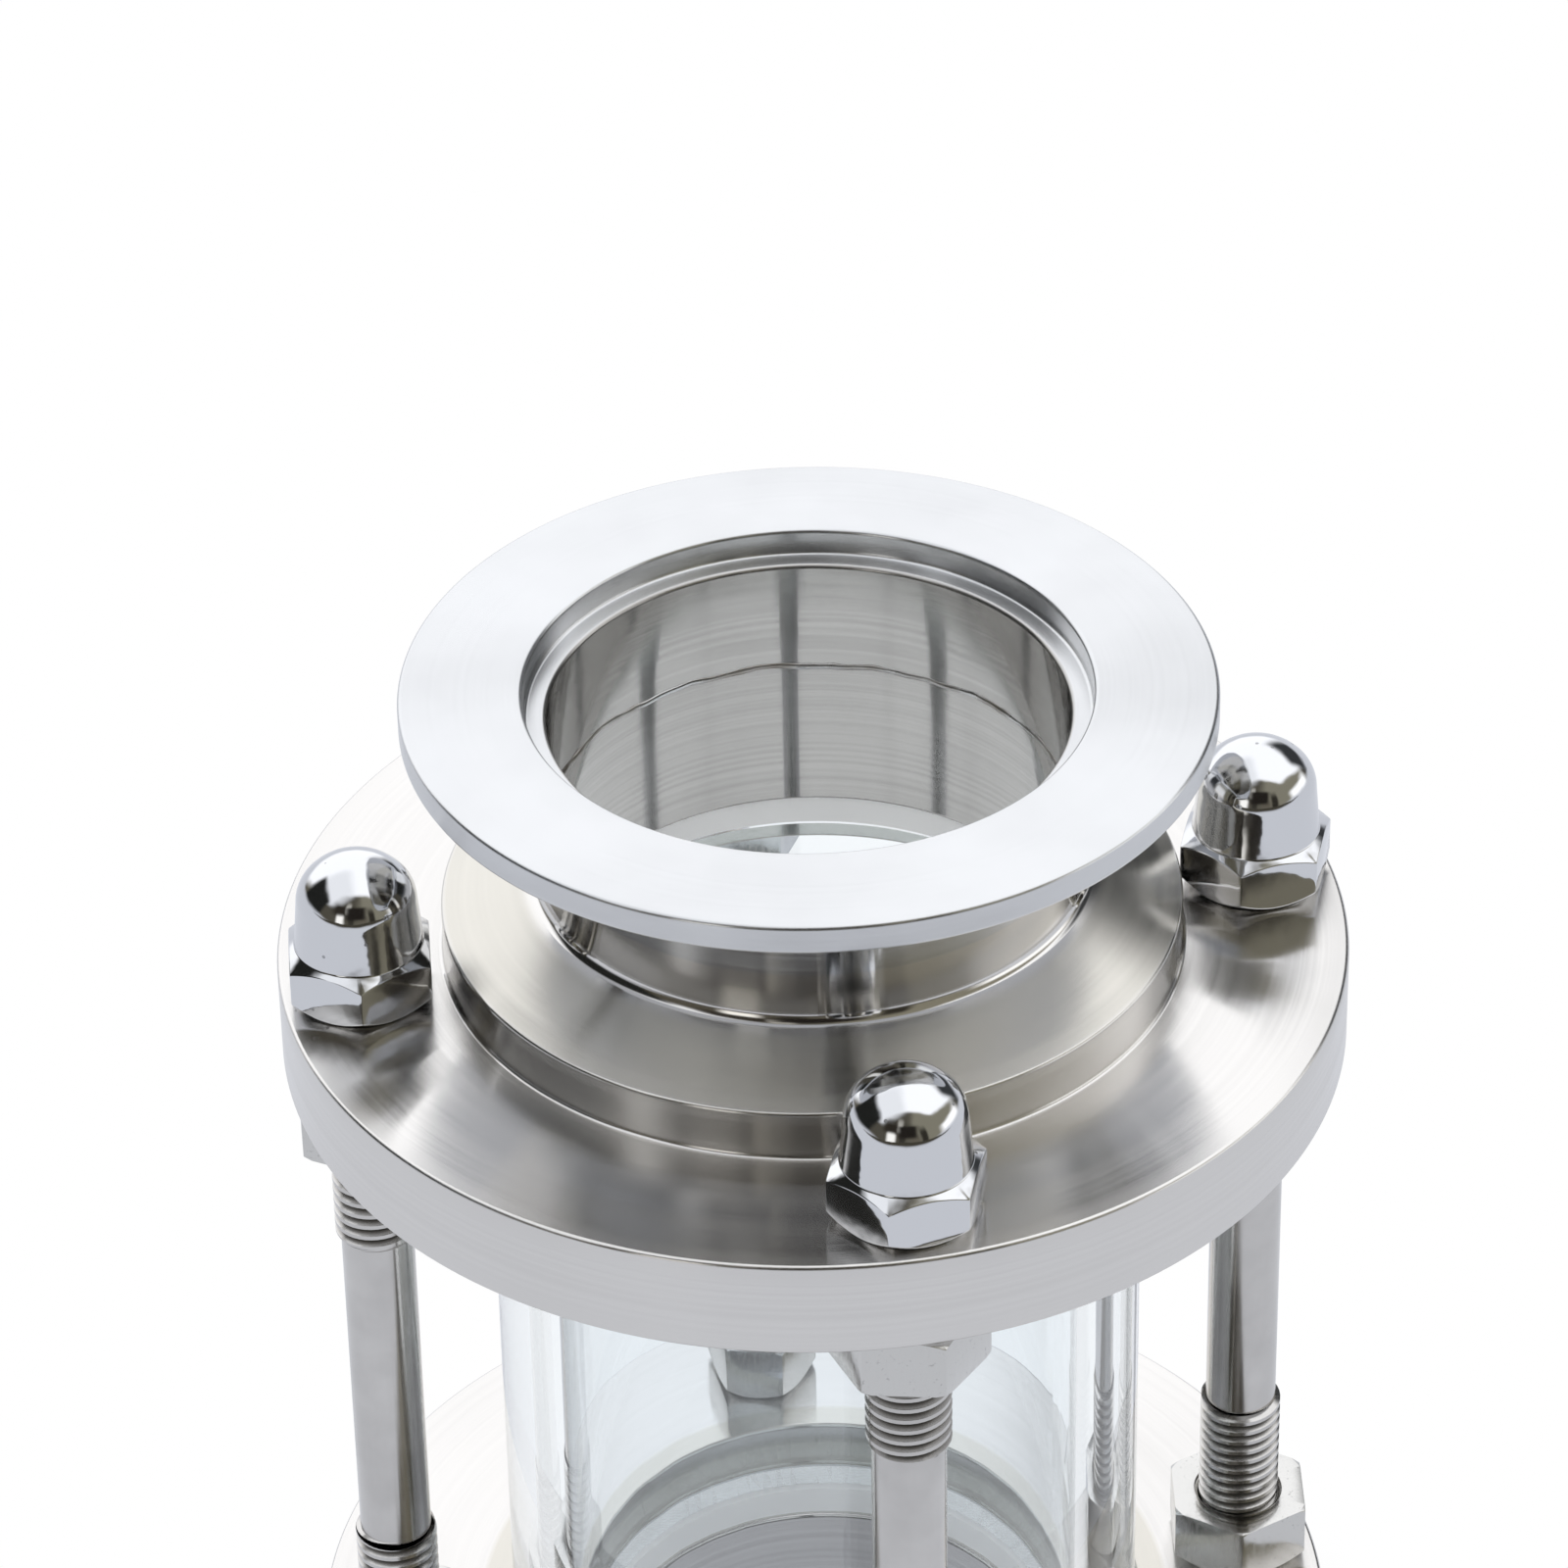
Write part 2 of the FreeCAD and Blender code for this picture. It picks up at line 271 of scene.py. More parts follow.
def vector_step(tree, operation, *values):
    """Vector arithmetic; a length or a dot product comes out as a number."""
    made = add_node(tree, "ShaderNodeVectorMath", dict(enumerate(values)), operation=operation)
    return made.outputs["Value" if operation in ("LENGTH", "DOT_PRODUCT") else "Vector"]


def stretched(tree, coords, factor):
    """Coordinates that draw a pattern out along the axis, or press it together."""
    return vector_step(tree, "MULTIPLY", coords, (1, 1, factor))


def noise(tree, coords, scale, detail):
    """A cloudy pattern; the scale is the number of clouds in a metre."""
    return add_node(tree, "ShaderNodeTexNoise", {
        "Vector": coords, "Scale": scale, "Detail": detail}).outputs[0]


def line_noise(tree, across, spacing):
    """Noise that changes only across the grooves, one line for each spacing."""
    return add_node(tree, "ShaderNodeTexNoise", {
        "W": across, "Scale": 1 / spacing, "Detail": 2.0, "Roughness": 0.6},
        noise_dimensions="1D").outputs[0]


def ramp(tree, value, start, end, low=0.0, high=1.0, smooth=False):
    """Maps a value that runs from start to end to the range from low to high."""
    return add_node(tree, "ShaderNodeMapRange", {
        "Value": value, "From Min": start, "From Max": end, "To Min": low, "To Max": high},
        interpolation_type="SMOOTHSTEP" if smooth else "LINEAR").outputs[0]


def spread(tree, pattern, low=0.0, high=1.0):
    """Maps the part of a noise that carries its pattern to the range from low to high."""
    return ramp(tree, pattern, 0.3, 0.7, low, high)


def between(tree, factor, first, second):
    """Two numbers mixed by a factor."""
    return add_node(tree, "ShaderNodeMix", {0: factor, "A": first, "B": second}).outputs[0]


def blend(tree, factor, first, second):
    """Two colours mixed by a factor."""
    return add_node(tree, "ShaderNodeMix", {
        0: factor, 6: first, 7: second}, data_type="RGBA").outputs[2]


def tint(tree, factor, colour, darkest):
    """The colour and its darker shade, mixed by a factor."""
    return blend(tree, factor, colour, shade(colour, darkest))


def bump(tree, height, strength, depth, below=None):
    """Relief from a pattern, laid over another relief if there is one."""
    inputs = {"Height": height, "Strength": strength, "Distance": depth}
    if below is not None:
        inputs["Normal"] = below
    return add_node(tree, "ShaderNodeBump", inputs).outputs[0]


def new_material(name):
    """An empty material, its node tree and the object's own coordinates in it."""
    material = bpy.data.materials.new(name)
    material.use_nodes = True
    tree = material.node_tree
    tree.nodes.clear()
    return material, tree, add_node(tree, "ShaderNodeTexCoord").outputs["Object"]


def principled(material, inputs):
    """Closes a material with its surface shader."""
    tree = material.node_tree
    shader = add_node(tree, "ShaderNodeBsdfPrincipled", inputs)
    add_node(tree, "ShaderNodeOutputMaterial", {"Surface": shader.outputs[0]})
    return material


def metal(material, colour, rough, relief, grain=0.0, along=None):
    """Closes a metal's material; a grain draws reflections out across the way it runs along."""
    inputs = {"Base Color": colour, "Metallic": 1.0, "Roughness": rough, "Normal": relief}
    if along is not None:
        inputs.update({"Anisotropic": grain, "Anisotropic Rotation": 0.25, "Tangent": along})
    return principled(material, inputs)


def dress(node_name, material):
    """Gives a node of the frame this material in every slot."""
    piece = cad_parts[node_name]
    for slot in piece.material_slots:
        slot.link = "OBJECT"
        slot.material = material
    if not piece.material_slots:
        piece.data.materials.append(material)


def paint(piece, material):
    """Gives a new piece this material and no other."""
    piece.data.materials.clear()
    piece.data.materials.append(material)


def name_new(name):
    """The piece that an operator has just made, named."""
    piece = bpy.context.object
    piece.name = piece.data.name = name
    return piece


def deselect_all():
    if bpy.context.object and bpy.context.object.mode != "OBJECT":
        bpy.ops.object.mode_set(mode="OBJECT")
    bpy.ops.object.select_all(action="DESELECT")


def make_active(piece):
    deselect_all()
    piece.select_set(True)
    bpy.context.view_layer.objects.active = piece


def edit_all(piece):
    """Opens the piece's mesh for editing with all of it selected."""
    make_active(piece)
    bpy.ops.object.mode_set(mode="EDIT")
    bpy.ops.mesh.select_all(action="SELECT")


def apply_modifier(piece, kind, **settings):
    make_active(piece)
    bpy.ops.object.modifier_add(type=kind)
    modifier = piece.modifiers[-1]
    for name, value in settings.items():
        setattr(modifier, name, value)
    bpy.ops.object.modifier_apply(modifier=modifier.name)


def smooth_by_angle(piece, degrees):
    make_active(piece)
    bpy.ops.object.shade_smooth_by_angle(angle=math.radians(degrees))


def arc(centre, radius, start, end, steps):
    """Points along an arc in the XZ plane, both ends included."""
    angles = [start + (end - start) * step / steps for step in range(steps + 1)]
    return [(centre[0] + radius * math.cos(turn), centre[1] + radius * math.sin(turn))
            for turn in angles]


def draw_outline(name, points):
    """An open chain of edges in the XZ plane, drawn by extruding one vertex from point to point."""
    deselect_all()
    bpy.ops.mesh.primitive_plane_add(size=0.001, location=(0, 0, 0))
    outline = name_new(name)
    bpy.ops.object.mode_set(mode="EDIT")
    bpy.ops.mesh.merge(type="CENTER")
    radius, height = points[0]
    bpy.ops.transform.translate(value=(radius, 0, height))
    for start, end in zip(points, points[1:]):
        step = (end[0] - start[0], 0, end[1] - start[1])
        bpy.ops.mesh.extrude_region_move(TRANSFORM_OT_translate={"value": step})
    bpy.ops.object.mode_set(mode="OBJECT")
    return outline


def screw_outline(name, points, steps=HOLE_STEPS, rise=0.0, turns=1):
    """Turns an outline about the Z axis into a closed body, or winds it up along the axis."""
    body = draw_outline(name, points)
    apply_modifier(body, "SCREW", axis="Z", angle=math.tau, screw_offset=rise, iterations=turns,
                   steps=steps, render_steps=steps, use_merge_vertices=True,
                   merge_threshold=1e-7, use_smooth_shade=False)
    close_mesh(body)
    return body


def close_mesh(piece):
    """Merges doubles and turns all faces outwards."""
    edit_all(piece)
    bpy.ops.mesh.remove_doubles(threshold=1e-6)
    bpy.ops.mesh.normals_make_consistent(inside=False)
    bpy.ops.object.mode_set(mode="OBJECT")


def cut_level(piece, height, keep_above):
    """Cuts the piece level at a height, drops one side and closes the cut."""
    edit_all(piece)
    bpy.ops.mesh.bisect(
        plane_co=(0, 0, height), plane_no=(0, 0, 1), use_fill=True,
        clear_inner=keep_above, clear_outer=not keep_above)
    bpy.ops.object.mode_set(mode="OBJECT")


def combine(piece, other, operation):
    apply_modifier(piece, "BOOLEAN", operation=operation, object=other, solver="EXACT")
    bpy.data.objects.remove(other)


def copy_piece(piece, name):
    twin = piece.copy()
    twin.data = piece.data.copy()
    twin.name = twin.data.name = name
    bpy.context.scene.collection.objects.link(twin)
    return twin


def apply_place(piece):
    """Puts the piece's place and turn into its mesh."""
    make_active(piece)
    bpy.ops.object.transform_apply(location=True, rotation=True, scale=True)


def shift(piece, offset):
    make_active(piece)
    bpy.ops.transform.translate(value=offset)
    apply_place(piece)


def turn_over(piece, height=0):
    """Turns a piece upside down about this height."""
    make_active(piece)
    bpy.ops.transform.rotate(value=math.pi, orient_axis="X", center_override=(0, 0, height))
    apply_place(piece)


def settle(piece):
    """Leaves the finished piece at the origin, riding on the one body."""
    apply_place(piece)
    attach(piece, "root")


def stand_in(piece, node, material, turn, hang=False):
    """Puts a piece in a node's place: on the foot of the node's box, or hung from its top."""
    low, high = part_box(node)
    middle = (low + high) / 2
    piece.location = (middle.x, middle.y, high.z if hang else low.z)
    piece.rotation_euler.z = turn
    paint(piece, material)
    settle(piece)
    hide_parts(node)


# Finishes.

def round_grain(tree, coords):
    """Direction round the part's axis, which turned grooves follow."""
    return vector_step(tree, "NORMALIZE", vector_step(tree, "CROSS_PRODUCT", UP, coords))


def turned_position(tree, coords):
    """Distance from the axis, height, and their sum, which changes across every turned groove."""
    radius = vector_step(tree, "LENGTH", stretched(tree, coords, 0))
    height = add_node(tree, "ShaderNodeSeparateXYZ", {0: coords}).outputs["Z"]
    return radius, height, calculate(tree, "ADD", radius, height)


def paint_bore_shade(tree, look, radius, marks, colour):
    """The bore is painted darker than the outside, a painted shade, with the tool marks still in it."""
    inside = ramp(tree, radius, look.bore_edge, look.bore_edge - BORE_BLEND)
    return blend(tree, inside, colour, tint(tree, marks, linear(look.bore_shade_colour), 0.84))


def turned_steel(look):
    """Stainless steel turned on a lathe: the grooves draw each reflection out into a fan."""
    material, tree, coords = new_material("turned_stainless_steel")
    radius, _, across = turned_position(tree, coords)
    # Lathe lines show 0.7 mm apart, drawn coarser than the real 0.1 mm feed so that they read.
    lines = line_noise(tree, across, look.groove_spacing)
    # Bands 4 mm wide, in which the tool cut cleaner or duller.
    bands = line_noise(tree, across, 0.004)
    # Cloudy marks of handling, 20 mm across, which leave the reflections a little uneven.
    clouds = noise(tree, coords, 50.0, 4.0)
    worn = calculate(tree, "MULTIPLY_ADD", lines, 0.5, bands)
    worn = calculate(tree, "MULTIPLY_ADD", clouds, 0.6, worn)
    rough = ramp(tree, worn, 0.75, 1.35, look.turned_roughness - 0.03, look.turned_roughness + 0.04)
    neck = ramp(tree, radius, *NECK_EDGE, 1.0, 0.0, smooth=True)
    rough = between(tree, neck, rough, look.polished_roughness)
    marked = ramp(tree, calculate(tree, "ADD", lines, clouds), 0.75, 1.25)
    # The sloping shoulder is painted darker and warmer, a painted shade where it faces the flange's
    # back.
    shoulder = ramp(tree, radius, *SHOULDER_EDGE)
    shoulder_shade_mask = calculate(tree, "SUBTRACT", shoulder, neck, use_clamp=True)
    plain_turned, shoulder_shade = (tint(tree, marked, linear(hue), 0.975)
                  for hue in (look.turned_colour, look.shoulder_shade_colour))
    # The bore is painted darker here, a painted shade.
    colour = paint_bore_shade(tree, look, radius, marked, blend(tree, shoulder_shade_mask, plain_turned, shoulder_shade))
    return metal(material, colour, rough, bump(tree, lines, 0.40, 0.00001),
                 look.turned_grain, round_grain(tree, coords))


def polished_steel(look):
    """Stainless steel turned and then polished round its axis: bright, with a trace of the grooves."""
    material, tree, coords = new_material("polished_stainless_steel")
    radius, height, across = turned_position(tree, coords)
    # Polishing lines 0.5 mm apart, so faint that only long reflections show them.
    lines = line_noise(tree, across, 0.0005)
    # Smears of the polishing mop, 2 mm high and 12 mm long round the bore.
    smears = noise(tree, stretched(tree, coords, 6), 80.0, 4.0)
    rough = ramp(tree, calculate(tree, "MULTIPLY_ADD", lines, 0.5, smears), 0.5, 1.0,
                 look.polished_roughness - 0.02, look.polished_roughness + 0.03)
    # The last 2.8 mm at each end are the turned flange; the rest is the polished tube stub.
    reach = calculate(tree, "ABSOLUTE", calculate(tree, "SUBTRACT", height, MIDDLE))
    flange = ramp(tree, reach, MIDDLE - FLANGE_EDGE[0], MIDDLE - FLANGE_EDGE[1],
                  0.0, look.flange_roughness - look.polished_roughness)
    rough = calculate(tree, "ADD", rough, flange)
    colour = tint(tree, spread(tree, smears), linear(look.polished_colour), 0.96)
    marks = ramp(tree, calculate(tree, "ADD", lines, smears), 0.6, 1.4)
    # The bore is painted darker here, a painted shade.
    colour = paint_bore_shade(tree, look, radius, marks, colour)
    relief = bump(tree, lines, 0.12, 0.00001, bump(tree, smears, 0.15, 0.00008))
    return metal(material, colour, rough, relief, 0.97, round_grain(tree, coords))


def chrome_plate(look):
    """Chrome over a pressed cap: mirror bright, slightly wavy, with a few pinholes."""
    material, tree, coords = new_material("electroplated_chrome")
    # Waves 3 mm long from the pressing make the mirrored edges run.
    waves = noise(tree, coords, 330.0, 2.0)
    # Pinholes and dust under the plating, in one of ten cells 1.25 mm wide. They are up to
    # 0.35 mm across, drawn coarser than the real 0.15 mm so that they read.
    dots = add_node(tree, "ShaderNodeTexVoronoi", {"Vector": coords, "Scale": 800.0}).outputs
    chosen = add_node(tree, "ShaderNodeSeparateColor", {0: dots["Color"]}).outputs[0]
    pits = calculate(tree, "MULTIPLY", calculate(tree, "GREATER_THAN", chosen, 0.90),
                     calculate(tree, "LESS_THAN", dots["Distance"], 0.14))
    colour = tint(tree, pits, linear(look.chrome_colour), 0.55)
    rough = ramp(tree, pits, 0.0, 1.0, 0.075, 0.28)
    return metal(material, colour, rough, bump(tree, waves, 0.6, 0.0001))


def bright_nut_steel(look):
    """Drawn and machined stainless nuts: bright, with fine upright marks and small specks."""
    material, tree, coords = new_material("machined_stainless_nuts")
    # Upright marks of the drawing die, 0.3 mm apart.
    marks = noise(tree, stretched(tree, coords, 0.15), 3300.0, 2.0)
    # Specks 0.4 mm across, where the polishing missed the drawn skin.
    specks = noise(tree, coords, 2400.0, 1.0)
    colour = tint(tree, ramp(tree, specks, 0.66, 0.80), linear(look.nut_colour), 0.72)
    return metal(material, colour, spread(tree, marks, 0.13, 0.24),
                 bump(tree, specks, 0.12, 0.00002))


def drawn_rod_steel(look):
    """Cold-drawn stainless bar: fine lines along the bar give a satin band of light."""
    material, tree, coords = new_material("cold_drawn_stainless_bar")
    # Drawing lines 0.4 mm apart that run on for 10 mm and more.
    lines = noise(tree, stretched(tree, coords, 0.03), 2500.0, 2.0)
    # Patches 6 mm across, where the bar was handled, are a little darker.
    patches = noise(tree, coords, 160.0, 3.0)
    # The bottom of the thread's grooves is painted dark, a painted shade that deepens towards the root.
    groove_shade = add_node(tree, "ShaderNodeAttribute", attribute_name="groove").outputs["Fac"]
    steel = tint(tree, spread(tree, patches), linear(look.rod_colour), 0.86)
    colour = blend(tree, groove_shade, steel, linear(look.groove_shade_colour))
    rough = between(tree, groove_shade, spread(tree, lines, 0.13, 0.22), 0.40)
    return metal(material, colour, rough, bump(tree, lines, 0.15, 0.00001), 0.6, UP)


def weld_steel(look):
    """A run of weld metal left as it froze: dull, brown with heat, rippled across the seam."""
    material, tree, coords = new_material("as_welded_stainless_seam")
    # Ripples 1 mm apart where the pool froze, and heat colour that changes over 6 mm.
    ripples = noise(tree, coords, 1000.0, 1.0)
    heat = noise(tree, coords, 170.0, 2.0)
    colour = blend(tree, spread(tree, heat), linear(look.weld_colour), linear(look.polished_colour))
    return metal(material, colour, spread(tree, heat, 0.38, 0.22),
                 bump(tree, ripples, 0.6, 0.00006))


def clear_glass(look):
    """Drawn borosilicate tube: clear, with faint draw lines along it that bend the highlights."""
    material, tree, coords = new_material("drawn_borosilicate_glass")
    # Draw lines 5 mm wide, which run the length of the tube.
    draw_lines = noise(tree, stretched(tree, coords, 0.04), 200.0, 1.0)
    return principled(material, {
        "Base Color": linear(look.tint), "Roughness": 0.0, "IOR": 1.47, "Transmission Weight": 1.0,
        "Normal": bump(tree, draw_lines, 0.3, 0.00004)})


def silicone(look):
    """Moulded white silicone rubber: soft, satin, with a trace of dust and of the mould's grain."""
    material, tree, coords = new_material("moulded_white_silicone")
    # Mould grain 0.5 mm across and dust in patches of 8 mm.
    grain = noise(tree, coords, 2000.0, 2.0)
    dust = noise(tree, coords, 120.0, 3.0)
    white = linear(look.rubber_colour)
    # Thin milky rubber carries light into the seat from all round, which a faint glow stands for.
    return principled(material, {
        "Base Color": tint(tree, spread(tree, dust), white, 0.9),
        "Roughness": spread(tree, grain, 0.42, 0.58), "Normal": bump(tree, grain, 0.2, 0.00004),
        "Emission Color": white, "Emission Strength": look.rubber_glow})


# Operators: one for each piece or group of like pieces.

class SIGHTGLASS_OT_studio(bpy.types.Operator):
    """Floor, background, lights and camera"""
    bl_idname = "sightglass.studio"
    bl_label = "Set the studio"

    def execute(self, context):
        look = context.scene.sight_studio
        make_camera(context, look)
        make_floor(look)
        make_world(context, look)
        return {"FINISHED"}


def make_camera(context, look):
    data = bpy.data.cameras.new("studio_camera")
    data.sensor_width = 36.0
    data.lens = look.focal * 1000
    data.clip_start = 0.01
    data.clip_end = 50.0
    camera = bpy.data.objects.new("studio_camera", data)
    context.scene.collection.objects.link(camera)
    place = Vector((-math.sin(look.bearing) * look.distance,
                    -math.cos(look.bearing) * look.distance, look.height))
    turn = (Matrix.Rotation(-look.heading, 4, "Z")
            @ Matrix.Rotation(math.pi / 2 - look.pitch, 4, "X")
            @ Matrix.Rotation(look.roll, 4, "Z"))
    camera.matrix_world = Matrix.Translation(place) @ turn
    context.scene.camera = camera
    context.scene.view_settings.view_transform = "Standard"


def facing_camera(tree, vector, look):
    """A place or direction turned about the vertical, so that the camera lies towards -Y."""
    return add_node(tree, "ShaderNodeVectorRotate", {
        "Vector": vector, "Angle": look.bearing}, rotation_type="Z_AXIS").outputs[0]


def by_ray(tree, shaders, part=1.0):
    """Joins what matt surfaces receive, what metal mirrors and, for a part, what the camera sees."""
    matt, mirrored, seen = (add_node(tree, kind, {"Color": colour}).outputs[0]
                            for kind, colour in shaders)
    paths = add_node(tree, "ShaderNodeLightPath").outputs
    direct = calculate(tree, "MAXIMUM", paths["Is Camera Ray"], paths["Is Transmission Ray"])
    indirect = add_node(tree, "ShaderNodeMixShader", {
        0: paths["Is Glossy Ray"], 1: matt, 2: mirrored}).outputs[0]
    return add_node(tree, "ShaderNodeMixShader", {
        0: calculate(tree, "MULTIPLY", direct, part), 1: indirect, 2: seen}).outputs[0]


def make_floor(look):
    deselect_all()
    bpy.ops.mesh.primitive_circle_add(vertices=96, radius=6.0, fill_type="NGON", location=(0, 0, 0))
    floor = name_new("floor")
    material, tree, coords = new_material("pale_floor")
    beyond = ramp(tree, vector_step(tree, "LENGTH", coords), *FLOOR_SHADE, smooth=True)
    # Mirrored, the floor is dim in the object's shade and ends where the dark room begins.
    near = add_node(tree, "ShaderNodeSeparateXYZ", {0: facing_camera(tree, coords, look)})
    edge = ramp(tree, near.outputs["Y"], *FLOOR_END, smooth=True)
    pale = linear(MIRRORED_WHITE)
    lit = blend(tree, beyond, shade(pale, look.shaded_floor), shade(pale, look.mirrored_floor))
    surface = by_ray(tree, (
        ("ShaderNodeBsdfDiffuse", linear(look.floor_colour)),
        ("ShaderNodeEmission", blend(tree, edge, lit, linear(FLOOR_END_COLOUR))),
        ("ShaderNodeEmission", WHITE)), beyond)
    add_node(tree, "ShaderNodeOutputMaterial", {"Surface": surface})
    paint(floor, material)


# What polished metal mirrors round the object: each card's name, its bearing from the far side
# towards the right, its height above level, half its width and half its height, all in degrees,
# its colour, its brightness and how soft its edge is.
CARDS = (
    ("room_right", 120, 40, 50, 50, "#928E7E", 1.0, 0.4),
    ("room_left", -135, 20, 42, 60, "#5A564C", 1.0, 0.35),
    ("back_softbox", 0, 55, 58, 60, "#FBFCFF", 1.5, 0.15),
    ("ceiling_left", -98, 62, 27, 24, "#F2F4F8", 1.3, 0.4),
    ("left_flag", -88, 22, 25, 24, "#232422", 1.0, 0.22),
    ("right_back_flag", 38, 18, 20, 19, "#3E4042", 1.0, 0.4),
    ("right_softbox", 90, 5, 24, 15, "#FFFFFF", 1.6, 0.35),
    ("front_right_gap", 149, 4, 6, 28, "#35322B", 1.0, 0.5),
    ("front_patch", 165, -2, 9, 18, "#6E685C", 1.0, 0.5),
    ("front_left_gap", -172, 2, 5, 26, "#403D36", 1.0, 0.5),
    ("window", -152, 8, 7, 16, "#FFFDF8", 1.4, 0.5),
    ("front_left_dark", -150, 34, 14, 13, "#332E27", 1.0, 0.5),
    ("front_left_lamp", -166, 38, 4, 12, "#D8D5CC", 1.0, 0.5),
    ("camera_and_stand", 178, 27, 17, 17, "#26221E", 1.0, 0.4),
)


def card_mask(tree, direction, bearing, height, halves, softness):
    """Where a card stands in the room: 1 in its middle, 0 beyond its soft edge."""
    around, above = math.radians(bearing), math.radians(height)
    forward = Vector((math.sin(around) * math.cos(above), math.cos(around) * math.cos(above),
                      math.sin(above)))
    right = Vector((math.cos(around), -math.sin(around), 0))
    ahead = vector_step(tree, "DOT_PRODUCT", direction, forward)
    mask = calculate(tree, "GREATER_THAN", ahead, 0.0)
    for side, half in zip((right, right.cross(forward)), halves):
        reach = math.tan(math.radians(half))
        offset = vector_step(tree, "DOT_PRODUCT", direction, side)
        ratio = calculate(tree, "ABSOLUTE", calculate(tree, "DIVIDE", offset, ahead))
        within = ramp(tree, ratio, reach * (1 + softness), reach * (1 - softness), smooth=True)
        mask = calculate(tree, "MULTIPLY", mask, within)
    return mask


def make_world(context, look):
    """Plain pale light for matt surfaces, and a studio of white and dark cards for polished ones."""
    world = bpy.data.worlds.new("studio_world")
    world.use_nodes = True
    context.scene.world = world
    tree = world.node_tree
    tree.nodes.clear()
    around = add_node(tree, "ShaderNodeTexCoord").outputs["Generated"]
    direction = facing_camera(tree, around, look)
    colour = linear(ROOM_COLOUR)
    for _, bearing, height, *halves, hue, strength, softness in CARDS:
        mask = card_mask(tree, direction, bearing, height, halves, softness)
        colour = blend(tree, mask, colour, shade(linear(hue), strength))
    # The floor runs up into the backdrop on the far side; towards the camera it ends at the level.
    place = add_node(tree, "ShaderNodeSeparateXYZ", {0: direction}).outputs
    near = ramp(tree, place["Y"], -0.75, -0.35, BACKDROP_RISE, 0.0, smooth=True)
    low = ramp(tree, calculate(tree, "ADD", place["Z"], near), BACKDROP_RISE, -0.02, smooth=True)
    colour = blend(tree, low, colour, shade(linear(MIRRORED_WHITE), look.mirrored_floor))
    surface = by_ray(tree, [("ShaderNodeBackground", light) for light in (
        shade(WHITE, MATT_LIGHT), colour, WHITE)])
    add_node(tree, "ShaderNodeOutputWorld", {"Surface": surface})


class SIGHTGLASS_OT_threaded_rods(bpy.types.Operator):
    """Four tie rods with a cut thread at each end"""
    bl_idname = "sightglass.threaded_rods"
    bl_label = "Cut the rod threads"

    def execute(self, context):
        steel = drawn_rod_steel(context.scene.sight_steel)
        low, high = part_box("tie_rod_front")
        model = threaded_rod(context.scene.sight_threads, high.z - low.z)
        rods = [model] + [copy_piece(model, "threaded_rod_" + place) for place in PLACES[1:]]
        # Each rod has a turn of its own, so that no two threads start alike.
        for index, (rod, place) in enumerate(zip(rods, PLACES)):
            stand_in(rod, "tie_rod_" + place, steel, math.radians(70 * index))
        return {"FINISHED"}


def threaded_rod(sizes, full_length):
    """A rod standing on the origin: helical threads trimmed to the bevelled bar, and the shank."""
    pitch, cut = sizes.pitch, sizes.thread_length
    flank = (pitch - sizes.crest_flat - sizes.root_flat) / 2
    tooth = [
        (sizes.root_radius, 0),
        (sizes.root_radius, sizes.root_flat),
        (sizes.crest_radius, sizes.root_flat + flank),
        (sizes.crest_radius, sizes.root_flat + flank + sizes.crest_flat),
        (sizes.root_radius, pitch),
    ]
    # Three spare turns, half of them at each end, are trimmed off level.
    thread = screw_outline("threaded_rod_front", tooth, THREAD_STEPS,
                           rise=pitch, turns=math.ceil(cut / pitch) + 3)
    shift(thread, (0, 0, -1.5 * pitch))
    cut_level(thread, 0, keep_above=True)
    cut_level(thread, cut, keep_above=False)
    close_mesh(thread)

    spare = 0.0001
    bar = screw_outline("thread_envelope", [
        (0, 0),
        (sizes.crest_radius - sizes.end_bevel, 0),
        (sizes.crest_radius + spare, sizes.end_bevel + spare),
        (sizes.crest_radius + spare, cut - sizes.runout),
        (sizes.shank_radius, cut),
        (0, cut),
    ])
    combine(thread, bar, "INTERSECT")

    twin = copy_piece(thread, "upper_thread")
    turn_over(twin)
    shift(twin, (0, 0, full_length))

    overlap = 0.0003
    start = cut - overlap
    shank = screw_outline("rod_shank", [
        (0, start),
        (sizes.shank_radius, start),
        (sizes.shank_radius, full_length - start),
        (0, full_length - start),
    ])
    combine(thread, twin, "UNION")
    combine(thread, shank, "UNION")
    mark_grooves(thread, sizes, full_length)
    smooth_by_angle(thread, 28)
    return thread


def mark_grooves(rod, sizes, full_length):
    """Stores how deep in a groove each point of the threads lies, for the painted shade in the grooves;
    the plain shank has none.
    """
    depth = rod.data.attributes.new("groove", "FLOAT", "POINT")
    reach = sizes.crest_radius - sizes.root_radius
    for vertex, value in zip(rod.data.vertices, depth.data):
        x, y, z = vertex.co
        threaded = min(z, full_length - z) < sizes.thread_length - sizes.runout
        inward = sizes.crest_radius - math.hypot(x, y)
        value.value = min(1.0, max(0.0, inward / reach)) if threaded else 0.0


